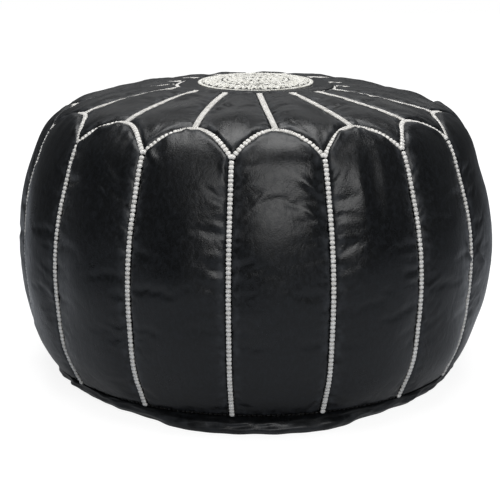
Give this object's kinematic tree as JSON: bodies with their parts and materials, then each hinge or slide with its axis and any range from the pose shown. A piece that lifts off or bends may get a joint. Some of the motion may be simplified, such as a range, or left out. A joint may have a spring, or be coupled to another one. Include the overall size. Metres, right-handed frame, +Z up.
{
  "type": "leather pouf",
  "caption": "Round stuffed leather floor pouf with arched side panels, a petalled crown, a sewn medallion and a zip in its base.",
  "frame": {"origin": "middle of the footprint, on the floor", "axes": "+Z up; -Y faces a side seam; the zip in the base runs along X"},
  "size_m": [0.546, 0.546, 0.3385],
  "materials": {
    "black_leather": "satin",
    "ivory_thread": "matte",
    "white_thread": "satin",
    "black_thread": "matte",
    "zip_tape": "matte",
    "zip_metal": "satin",
    "cotton": "matte",
    "filling": "matte"
  },
  "bodies": {
    "pouf": {"side_panel_01": "black_leather", "side_panel_02": "black_leather", "side_panel_03": "black_leather", "side_panel_04": "black_leather", "side_panel_05": "black_leather", "side_panel_06": "black_leather", "side_panel_07": "black_leather", "side_panel_08": "black_leather", "side_panel_09": "black_leather", "side_panel_10": "black_leather", "side_panel_11": "black_leather", "side_panel_12": "black_leather", "side_panel_13": "black_leather", "side_panel_14": "black_leather", "side_panel_15": "black_leather", "side_panel_16": "black_leather", "top_petal_01": "black_leather", "top_petal_02": "black_leather", "top_petal_03": "black_leather", "top_petal_04": "black_leather", "top_petal_05": "black_leather", "top_petal_06": "black_leather", "top_petal_07": "black_leather", "top_petal_08": "black_leather", "top_petal_09": "black_leather", "top_petal_10": "black_leather", "top_petal_11": "black_leather", "top_petal_12": "black_leather", "top_petal_13": "black_leather", "top_petal_14": "black_leather", "top_petal_15": "black_leather", "top_petal_16": "black_leather", "side_seam_stitching": "ivory_thread", "arch_stitching": "ivory_thread", "petal_seam_stitching": "ivory_thread", "ring_stitching": "ivory_thread", "centre_disc": "black_leather", "medallion_disc": "black_leather", "medallion_embroidery": "white_thread", "base_seam_stitching": "black_thread", "base_join_stitching": "black_thread", "base_front": "black_leather", "base_back": "black_leather", "zip_tape_front": "zip_tape", "zip_tape_back": "zip_tape", "zip_teeth_front": "zip_metal", "zip_teeth_back": "zip_metal", "zip_end_stops": "zip_metal", "inner_bag": "cotton", "stuffing": "filling"},
    "slider": {"zip_slider": "zip_metal", "pull_pin": "zip_metal"},
    "pull": {"zip_pull": "zip_metal"}
  },
  "joints": [
    {"name": "zip_slide", "type": "slide", "parent": "pouf", "child": "slider", "axis": [1, 0, 0], "range_m": [0, 0.288]},
    {"name": "pull_hinge", "type": "hinge", "parent": "slider", "child": "pull", "pos_m": [-0.1442, 0, 0.0084], "axis": [0, -1, 0], "range_deg": [0, 180]}
  ]
}
